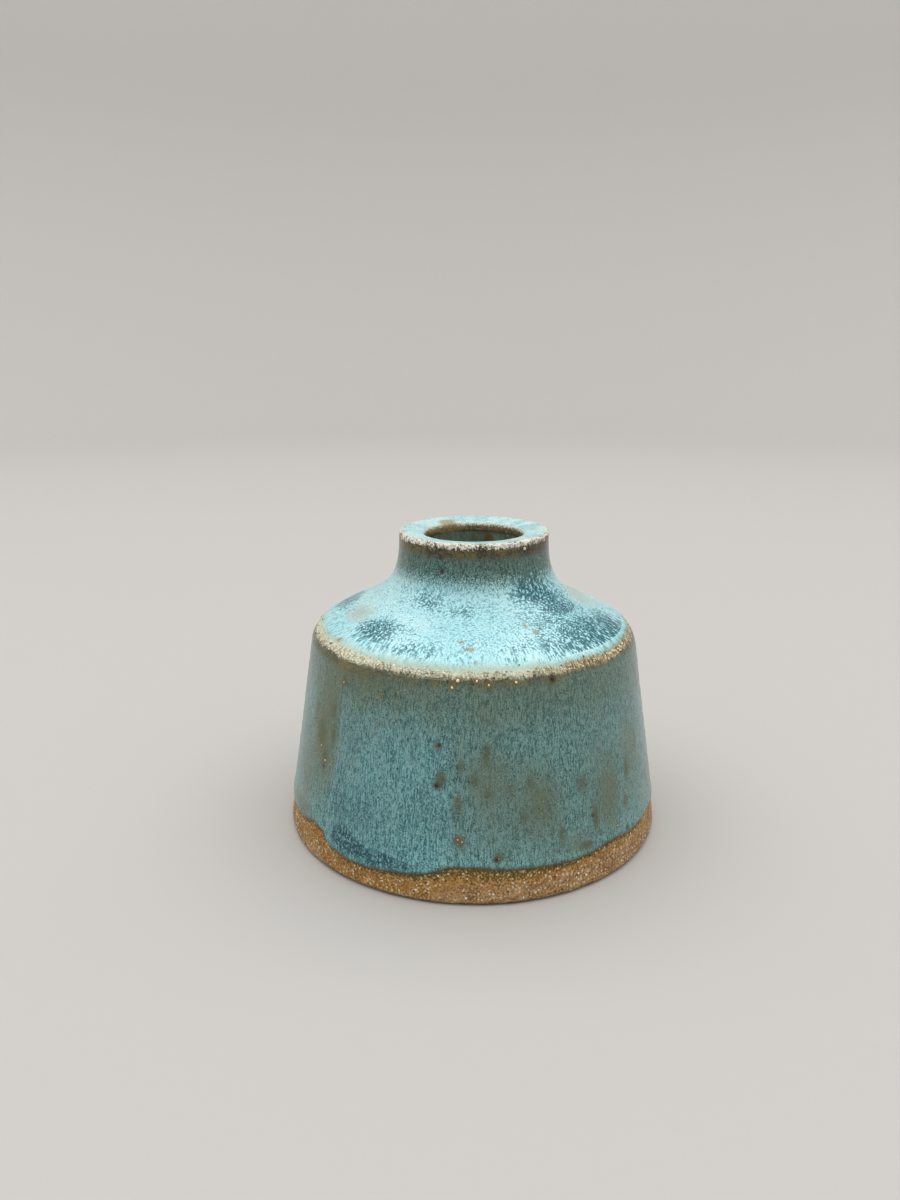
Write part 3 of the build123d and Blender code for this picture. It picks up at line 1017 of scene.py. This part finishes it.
def stoneware():
    """Bare grogged stoneware: sandy brown, ochre just under the glaze, with dark and pale grains."""
    r = Recipe("stoneware_clay")
    at = r.place()
    coarse = r.noise(at, 4.0, 3.0)
    fine = r.noise(at, 0.42, 3.0, 0.65)
    colour = r.mix(r.step(coarse, 0.35, 0.65), (0.27, 0.145, 0.055), (0.40, 0.24, 0.115))
    ochre = r.mix(r.step(coarse, 0.35, 0.6), (0.30, 0.135, 0.018), (0.34, 0.18, 0.03))
    colour = r.tint(colour, 0.9, r.step(r.value("ochre"), 1.1, 0.5), ochre)
    soot = r.step(r.sum(r.value("soot"), (fine, 2.4), -1.2), 0.95, 0.4)
    colour = r.tint(colour, 0.85, soot, (0.080, 0.066, 0.008))
    colour = r.tint(colour, 0.7, r.step(fine, 0.5, 0.64), (0.66, 0.42, 0.17))
    colour = r.tint(colour, 0.85, r.step(fine, 0.48, 0.34), (0.10, 0.046, 0.008))
    grains = r.cells(at, 0.7)
    edge = (0.38, 0.26)
    colour = r.tint(colour, 0.7, r.some(grains, edge, 1, (0.58, 0.64)), (0.50, 0.22, 0.04))
    colour = r.tint(colour, 0.85, r.some(grains, edge, 0, (0.62, 0.68)), (0.74, 0.58, 0.36))
    colour = r.tint(colour, 0.85, r.some(grains, edge, 2, (0.84, 0.88)), (0.05, 0.026, 0.012))
    r.relief(r.sum((fine, 0.14), (coarse, 0.12), (r.step(grains[0], *edge), 0.05)))
    return r.finish(colour, r.sum(0.5, (fine, 0.25)))


def glaze_patterns(r):
    """What the whole glaze is mixed from: the mesh's values, and noises of several sizes."""
    p = SimpleNamespace()
    p.ridge, p.rim, p.lip = r.value("from_ridge"), r.value("from_rim"), r.value("from_lip")
    p.above, p.lap, p.pool = r.value("above_line"), r.value("lap"), r.value("pool")
    p.gold, p.wide = r.value("gold"), r.value("wide")
    p.turned = r.space("turned")
    p.fine = r.noise(r.stretch(p.turned, (1.0, 1.0, 0.7)), 0.22, 2.0, 0.7)
    p.hair = r.noise(r.stretch(p.turned, (1.0, 1.0, 0.22)), 0.27, 2.0, 0.6)
    p.streak = r.noise(r.stretch(p.turned, (1.0, 1.0, 0.2)), 0.60, 2.0, 0.6)
    p.patch = r.noise(r.stretch(p.turned, (1.0, 1.0, 0.6)), 3.6, 3.0, 0.6)
    p.broad = r.noise(r.stretch(p.turned, (1.0, 1.0, 0.6)), 13.0, 1.0)
    p.grit = r.noise(p.turned, 0.50, 3.0, 0.7)
    p.tone = r.sum((p.grit, 0.4), (p.fine, 0.3), (p.patch, 0.3))
    beads = r.cells(r.warp(p.turned, 0.4, 0.15), 0.80)
    shown = r.sum(r.channel(beads[1], 0), (p.patch, 0.6), -0.3)
    p.white = r.times(r.step(beads[0], 0.32, 0.16), r.step(shown, 0.56, 0.62))
    p.brown = r.some(beads, (0.32, 0.18), 1, (0.76, 0.80))
    p.crumb = r.some(r.cells(r.warp(p.turned, 0.4, 0.10), 0.50), (0.42, 0.24), 0, (0.62, 0.68))
    return p


def wall_colour(r, p):
    """The wall and neck: grey teal, bluer in the lap, flecked and streaked, olive where thin."""
    deep = r.mix(p.lap, (0.022, 0.085, 0.078), (0.014, 0.110, 0.125))
    light = r.mix(p.lap, (0.205, 0.395, 0.388), (0.240, 0.485, 0.500))
    high = r.step(r.sum(p.ridge, (p.patch, 8.0), -4.0), -14.0, -3.0)
    light = r.tint(light, 0.58, high, (0.18, 0.20, 0.10))
    low = r.step(r.sum(p.above, (p.patch, 8.0), -4.0), 9.0, 2.0)
    light = r.tint(light, 0.6, low, (0.26, 0.58, 0.60))
    neck = r.step(p.rim, -11.5, -6.0)
    deep = r.mix(neck, deep, (0.008, 0.034, 0.028))
    light = r.mix(neck, light, (0.125, 0.235, 0.205))
    flecks = r.sum((p.fine, 0.48), (p.hair, 0.42), (p.patch, 0.10))
    wall = r.mix(r.step(flecks, 0.39, 0.61), deep, light)
    wall = r.tint(wall, 0.30, r.step(p.broad, 0.42, 0.78), (0.125, 0.165, 0.115))
    haze = r.step(r.sum(r.value("haze"), (p.hair, 0.7), (p.patch, 0.6), -0.65), 0.0, 1.1)
    wall = r.tint(wall, 0.8, haze, (0.120, 0.135, 0.064))
    dots = r.cells(p.turned, 1.05)
    dark_dot = r.some(dots, (0.20, 0.11), 0, (0.38, 0.43))
    wall = r.tint(wall, 0.85, dark_dot, (0.010, 0.036, 0.038))
    pale_dot = r.some(dots, (0.17, 0.08), 1, (0.72, 0.76))
    wall = r.tint(wall, 0.7, pale_dot, (0.36, 0.56, 0.52))
    rust = r.sum(r.value("smear"), (p.hair, 1.1), (p.grit, 0.7), -0.9)
    wall = r.tint(wall, 0.80, r.step(rust, 0.15, 0.95), (0.084, 0.078, 0.022))
    rusty = r.times(r.step(p.streak, 0.54, 0.72), r.step(p.patch, 0.5, 0.65))
    wall = r.tint(wall, 0.35, rusty, (0.12, 0.105, 0.050))
    pooled = r.times(r.step(p.pool, 0.05, 0.60), r.step(p.grit, 0.58, 0.49))
    return r.tint(wall, 0.95, r.times(pooled, p.lap), (0.004, 0.055, 0.078))


def shoulder_colour_with_painted_sheen(r, p):
    """The shoulder, where the glaze lies thick: pale aqua dashes over teal, dark where it pooled, with
    painted sheen and glints.
    """
    dark = r.step(r.sum(p.pool, (p.patch, 1.1), -0.55), -0.30, 0.75)
    dash = r.noise(r.stretch(r.warp(p.turned, 1.6, 0.35), (1.0, 1.0, 0.36)), 0.52, 2.0, 0.6)
    field = r.sum(dash, (p.fine, 0.30), (p.broad, 0.15), (dark, -0.20), -0.225)
    deep = r.mix(dark, (0.20, 0.47, 0.52), (0.004, 0.110, 0.140))
    deep = r.tint(deep, 0.75, r.step(p.grit, 0.50, 0.36), (0.003, 0.055, 0.075))
    pale = r.mix(r.step(p.broad, 0.35, 0.65), (0.38, 0.72, 0.78), (0.52, 0.78, 0.79))
    # in the dark pools the pale dashes turn near white: partly pale glaze, partly painted glints off
    # the glossy bumps
    pale = r.mix(dark, pale, (0.52, 0.90, 0.92))
    pale = r.tint(pale, 0.45, r.step(field, 0.50, 0.40), (0.22, 0.52, 0.58))
    thick = r.mix(r.step(field, 0.30, 0.41), deep, pale)
    grains = r.noise(p.turned, 0.26, 2.0, 0.7)
    thick = r.tint(thick, 0.62, r.step(grains, 0.47, 0.34), (0.08, 0.27, 0.32))
    # painted sheen: whitish grain tops where the glossy shoulder catches the light above, faint in the
    # dark pools
    painted_grain_sheen = r.times(r.step(grains, 0.54, 0.66), r.sum(0.50, (dark, -0.42)))
    thick = r.mix(painted_grain_sheen, thick, (0.66, 0.90, 0.90))
    pit = r.some(r.cells(p.turned, 0.95), (0.20, 0.10), 0, (0.45, 0.5))
    thick = r.tint(thick, 0.7, pit, (0.05, 0.15, 0.17))
    bare = r.sum(r.value("thin"), (p.streak, 1.3), (p.fine, 0.8), -1.1)
    thick = r.tint(thick, 0.70, r.step(bare, 0.15, 0.95), (0.42, 0.47, 0.40))
    by_ridge = r.step(r.sum(p.ridge, (p.patch, 2.0), (p.gold, 0.9)), 4.9, 2.4)
    return r.tint(thick, 0.82, by_ridge, r.mix(p.gold, (0.40, 0.53, 0.43), (0.16, 0.30, 0.23)))


def rim_top_colour_with_painted_sheen(r, p):
    """The flat of the rim: pale aqua and glossy, its paleness partly a painted reflection of the light
    above, with painted whitish highlights and darker grains.
    """
    top = r.mix(r.step(p.patch, 0.38, 0.6), (0.27, 0.53, 0.58), (0.50, 0.72, 0.71))
    # painted highlights: whitish specks where the glossy rim top catches the light
    top = r.tint(top, 0.65, r.step(p.grit, 0.5, 0.62), (0.72, 0.88, 0.84))
    top = r.tint(top, 0.60, r.step(p.grit, 0.46, 0.36), (0.17, 0.42, 0.48))
    return r.tint(top, 0.6, r.step(p.fine, 0.46, 0.32), (0.13, 0.33, 0.37))


def ridge_cream(r, p):
    """Where the ridge breaks: cream with beads, wide and even on the left, golden on the right."""
    cream = r.mix(r.step(p.tone, 0.42, 0.55), (0.17, 0.14, 0.055), (0.66, 0.65, 0.47))
    beaded = r.mix(r.step(p.grit, 0.42, 0.56), (0.33, 0.29, 0.15), (0.78, 0.77, 0.57))
    cream = r.tint(cream, 0.75, p.wide, beaded)
    glint = r.mix(r.step(p.hair, 0.43, 0.57), (0.080, 0.046, 0.010), (0.56, 0.42, 0.18))
    cream = r.tint(cream, 0.94, p.gold, glint)
    cream = r.tint(cream, 0.85, p.crumb, (0.95, 0.90, 0.68))
    cream = r.tint(cream, 0.85, p.brown, (0.085, 0.045, 0.014))
    shine = r.times(p.white, r.sum(0.95, (p.gold, -0.45)))
    return r.mix(shine, cream, (0.94, 0.90, 0.72))


def ridge_break(r, p, colour, ragged):
    """The broken ridge over the colour, with an olive fringe below it, and where it is broken."""
    soft = r.sum((p.grit, 1.4), (p.patch, 2.6), (p.hair, 1.0), -2.5)
    olive = r.mix(r.step(p.tone, 0.42, 0.58), (0.040, 0.033, 0.010), (0.170, 0.135, 0.050))
    below = r.sum(p.ridge, soft, (p.gold, -0.8), (p.wide, 0.3))
    colour = r.tint(colour, 0.75, r.band(below, -3.0, -0.8, 0.0, 0.8), olive)
    inner = r.step(r.sum(p.ridge, ragged, (p.gold, 0.25)), -0.65, 0.15)
    outer = r.step(r.sum(p.ridge, ragged, (p.wide, -0.5)), 1.9, 0.5)
    broken = r.times(inner, outer)
    return r.tint(colour, 0.92, broken, ridge_cream(r, p)), broken


def rim_break(r, p, colour):
    """The broken rim over the colour: milky beads, with dark brown ticks running down from them."""
    bruise = r.mix(r.step(p.tone, 0.44, 0.58), (0.026, 0.018, 0.003), (0.165, 0.118, 0.032))
    ticks = r.band(r.sum(p.rim, (p.hair, 2.0), (p.grit, 1.2), -1.6), -3.6, -2.1, -0.2, 0.3)
    colour = r.tint(colour, 0.88, ticks, bruise)
    drip = r.sum((p.grit, 2.0), (p.hair, 1.4), -1.7)
    broken = r.band(r.sum(p.rim, drip), -1.05, -0.65, 0.25, 0.85)
    milk = r.mix(r.step(p.tone, 0.45, 0.53), (0.17, 0.12, 0.05), (0.92, 0.86, 0.76))
    milk = r.mix(r.larger(p.white, p.crumb), milk, (0.97, 0.92, 0.85))
    milk = r.tint(milk, 0.85, p.brown, (0.10, 0.060, 0.02))
    return r.tint(colour, 0.95, broken, milk), broken


def lip_break(r, p, colour, ragged):
    """The broken lip over the colour: golden brown with pale beads, and below it the bore, dark olive
    partly of its own and partly painted shade.
    """
    broken = r.step(r.sum(p.lip, (ragged, 0.8)), 0.0, 0.45)
    golden = r.mix(r.step(p.tone, 0.40, 0.58), (0.075, 0.042, 0.006), (0.36, 0.22, 0.05))
    colour = r.tint(colour, 0.92, broken, golden)
    beads = r.times(r.band(p.lip, -0.3, 0.1, 0.5, 1.0), r.step(p.grit, 0.46, 0.54))
    colour = r.tint(colour, 0.95, beads, (0.84, 0.78, 0.62))
    # painted shade: deep in the bore the coat turns darker than the lining's own olive
    bore = r.step(r.sum(p.lip, (p.hair, 1.4), (p.grit, 0.8)), 2.2, 3.2)
    return r.mix(bore, colour, (0.060, 0.080, 0.045)), broken


def halos(r, at, spots, reach):
    """Halos round the spots that break the glaze, reaching this many times their size."""
    halo = None
    outline = glazed_outline()
    for azimuth, level, size in spots:
        centre = place(np.radians(azimuth), *outline.at(outline.run_at_height(level, "rim")))
        away = r.vector("DISTANCE", at, tuple(centre)).outputs["Value"]
        near = r.step(away, size * reach, size * 0.8)
        halo = near if halo is None else r.larger(halo, near)
    return halo


def stained(r, p, colour):
    """Rubs, the stains round the specks, and a dark thread along the glaze line."""
    rubbed = r.step(r.sum(r.value("rub"), (p.fine, 0.9), (p.grit, 1.1), -1.0), 0.25, 0.75)
    worn = r.mix(r.step(p.fine, 0.42, 0.56), (0.10, 0.062, 0.016), (0.44, 0.32, 0.13))
    colour = r.tint(colour, 0.80, rubbed, worn)
    at = r.place()
    colour = r.tint(colour, 0.8, halos(r, at, WHITE_SPOTS, 3.6), (0.155, 0.100, 0.022))
    colour = r.tint(colour, 0.8, halos(r, at, IRON_SPOTS, 2.8), (0.050, 0.042, 0.018))
    thread = r.step(r.sum(p.above, (p.grit, 0.8), -0.4), 1.3, 0.2)
    return r.tint(colour, 0.85, thread, (0.055, 0.05, 0.014))


def glaze(name):
    """The turquoise glaze: speckled and streaked, breaking to cream and brown where it is thin."""
    r = Recipe(name)
    p = glaze_patterns(r)
    on_shoulder = r.times(r.step(p.rim, -3.2, -12.5), r.step(p.ridge, -0.2, 1.0))
    on_shoulder = r.step(r.sum(on_shoulder, (p.fine, 1.6), -0.8), 0.15, 0.85)
    colour = r.mix(on_shoulder, wall_colour(r, p), shoulder_colour_with_painted_sheen(r, p))
    colour = r.mix(r.step(p.rim, 0.0, 0.5), colour, rim_top_colour_with_painted_sheen(r, p))
    ragged = r.sum((p.grit, 1.8), (p.patch, 1.2), -1.5)
    colour, at_ridge = ridge_break(r, p, colour, ragged)
    colour, at_rim = rim_break(r, p, colour)
    colour, at_lip = lip_break(r, p, colour, ragged)
    colour = stained(r, p, colour)
    broken = r.larger(at_ridge, r.larger(at_rim, at_lip))
    grains = r.times(r.times(broken, 0.14), r.sum(p.grit, p.white))
    r.relief(r.sum((r.noise(p.turned, 0.9, 1.0), 0.035), (p.fine, 0.02), grains))
    return r.finish(colour, r.sum(0.16, (p.fine, 0.14), (broken, 0.2)), 1.52)


def liner():
    """The glaze inside: dark green-teal and glossy, brown where it thins towards the lip."""
    r = Recipe("liner_glaze")
    turned = r.space("turned")
    fine = r.noise(r.stretch(turned, (1.0, 1.0, 0.4)), 0.6)
    patch = r.noise(turned, 4.0)
    colour = r.mix(r.step(patch, 0.35, 0.65), (0.115, 0.15, 0.10), (0.165, 0.24, 0.18))
    colour = r.tint(colour, 0.5, r.step(fine, 0.5, 0.7), (0.27, 0.36, 0.29))
    brown = r.step(r.sum(r.value("from_top"), (fine, 3.0)), 3.6, 1.2)
    colour = r.tint(colour, 0.75, brown, (0.13, 0.085, 0.022))
    rust = r.step(r.sum(r.value("stain"), (fine, 0.8), -0.4), 0.2, 0.7)
    colour = r.tint(colour, 0.85, rust, (0.16, 0.075, 0.014))
    r.relief(r.times(r.noise(turned, 1.2), 0.05))
    return r.finish(colour, r.sum(0.18, (fine, 0.1)))


def grog():
    """Pale crushed grains, glassy where the glaze has wetted them."""
    r = Recipe("white_grog")
    at = r.place()
    tone = r.value("tone")
    colour = r.mix(tone, (0.42, 0.31, 0.16), (0.90, 0.84, 0.70))
    colour = r.tint(colour, 0.5, r.step(r.noise(at, 0.3), 0.50, 0.32), (0.34, 0.25, 0.11))
    r.relief(r.times(r.noise(at, 0.15), 0.03))
    return r.finish(colour, r.sum(0.3, (tone, 0.2)))


def iron():
    """Dark melted iron spots."""
    r = Recipe("iron_speck")
    at = r.place()
    colour = r.mix(r.noise(at, 0.25), (0.008, 0.006, 0.005), (0.032, 0.020, 0.012))
    r.relief(r.times(r.noise(at, 0.2), 0.03))
    return r.finish(colour, r.sum(0.3, (r.value("tone"), 0.2)))


# ======== The pieces on their bodies ========

PIECES = [
    (clay_piece(stoneware()), "stoneware_clay", ["clay_body"]),
    (outer_glaze_piece(glaze("turquoise_glaze")), "turquoise_glaze", ["outer_glaze"]),
    (glaze_lap_piece(glaze("blue_glaze_lap")), "blue_glaze_lap", ["glaze_lap"]),
    (liner_piece(liner()), "liner_glaze", ["liner_glaze"]),
    (grog_piece(grog()), "white_grog", ["grog_grains"]),
    (iron_piece(iron()), "iron_speck", ["iron_specks"]),
]
for piece, slot, nodes in PIECES:
    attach(piece, "root")
    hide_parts(*nodes)


# ======== Studio: floor, light and camera ========

# The floor's sizes, in metres.
FLOOR_FLAT = 0.9  # radius of the flat part
FLOOR_BEND = 0.5  # radius of the curve beyond it
FLOOR_RISE = 0.5  # height of the upright part beyond that
FLOOR_RING = 0.02  # from one ring of points to the next
FLOOR_BEND_ROWS = 16
FLOOR_AROUND = 96

# The camera's place in millimetres, its angles in degrees, and its lens.
CAMERA_BACK = 184.3
CAMERA_HEIGHT = 98.9
CAMERA_DOWN = 15.59
CAMERA_YAW = 1.53
CAMERA_LENS = 27.0
CAMERA_SENSOR = 36.0


def plain_material(name, colour, roughness):
    material = bpy.data.materials.new(name)
    material.use_nodes = True
    shader = material.node_tree.nodes["Principled BSDF"]
    shader.inputs["Base Color"].default_value = (*colour, 1.0)
    shader.inputs["Roughness"].default_value = roughness
    return material


def studio_floor():
    """A pale round floor that curves up far away on every side."""
    rings = int(FLOOR_FLAT / FLOOR_RING)
    section = [(FLOOR_RING * i, 0.0) for i in range(1, rings + 1)]
    for i in range(1, FLOOR_BEND_ROWS + 1):
        turn = math.radians(90 * i / FLOOR_BEND_ROWS)
        out, up = FLOOR_BEND * math.sin(turn), FLOOR_BEND * (1 - math.cos(turn))
        section.append((FLOOR_FLAT + out, up))
    section.append((FLOOR_FLAT + FLOOR_BEND, FLOOR_BEND + FLOOR_RISE))
    angles = np.linspace(0, FULL_TURN, FLOOR_AROUND, endpoint=False)
    points = [(0.0, 0.0, 0.0)]
    for radius, level in section:
        points += [(radius * math.cos(a), radius * math.sin(a), level) for a in angles]
    faces = cap_faces(0, 1, FLOOR_AROUND)
    quads = grid_faces(len(section), FLOOR_AROUND, False, True) + 1
    faces += [(a, d, c, b) for a, b, c, d in quads.tolist()]
    mesh = bpy.data.meshes.new("studio_floor")
    mesh.from_pydata(points, [], faces)
    mesh.shade_smooth()
    mesh.materials.append(plain_material("pale_floor", (0.50, 0.475, 0.45), 0.7))
    floor = bpy.data.objects.new("studio_floor", mesh)
    bpy.context.scene.collection.objects.link(floor)


def overhead_light():
    """A wide soft box over the pot, facing straight down."""
    data = bpy.data.lights.new("overhead", "AREA")
    data.shape = "RECTANGLE"
    data.size, data.size_y = 3.0, 2.1
    data.energy = 36.0
    data.color = (0.97, 0.99, 1.0)
    light = bpy.data.objects.new("overhead", data)
    light.location = (0.0, 0.02, 1.30)
    bpy.context.scene.collection.objects.link(light)


def studio_air():
    """Faint even light from all sides."""
    world = bpy.data.worlds.new("studio_air")
    world.use_nodes = True
    sky = world.node_tree.nodes["Background"]
    sky.inputs["Color"].default_value = (0.95, 0.97, 1.0, 1.0)
    sky.inputs["Strength"].default_value = 0.30
    bpy.context.scene.world = world
    bpy.context.scene.view_settings.view_transform = "Standard"


def studio_camera():
    """The photograph's viewing angle and distance."""
    data = bpy.data.cameras.new("camera")
    data.lens = CAMERA_LENS
    data.sensor_width = CAMERA_SENSOR
    data.clip_start = 0.01
    camera = bpy.data.objects.new("camera", data)
    camera.location = (0.0, -CAMERA_BACK * MM, CAMERA_HEIGHT * MM)
    camera.rotation_euler = (math.radians(90 - CAMERA_DOWN), 0.0, math.radians(CAMERA_YAW))
    bpy.context.scene.collection.objects.link(camera)
    bpy.context.scene.camera = camera


studio_floor()
overhead_light()
studio_air()
studio_camera()
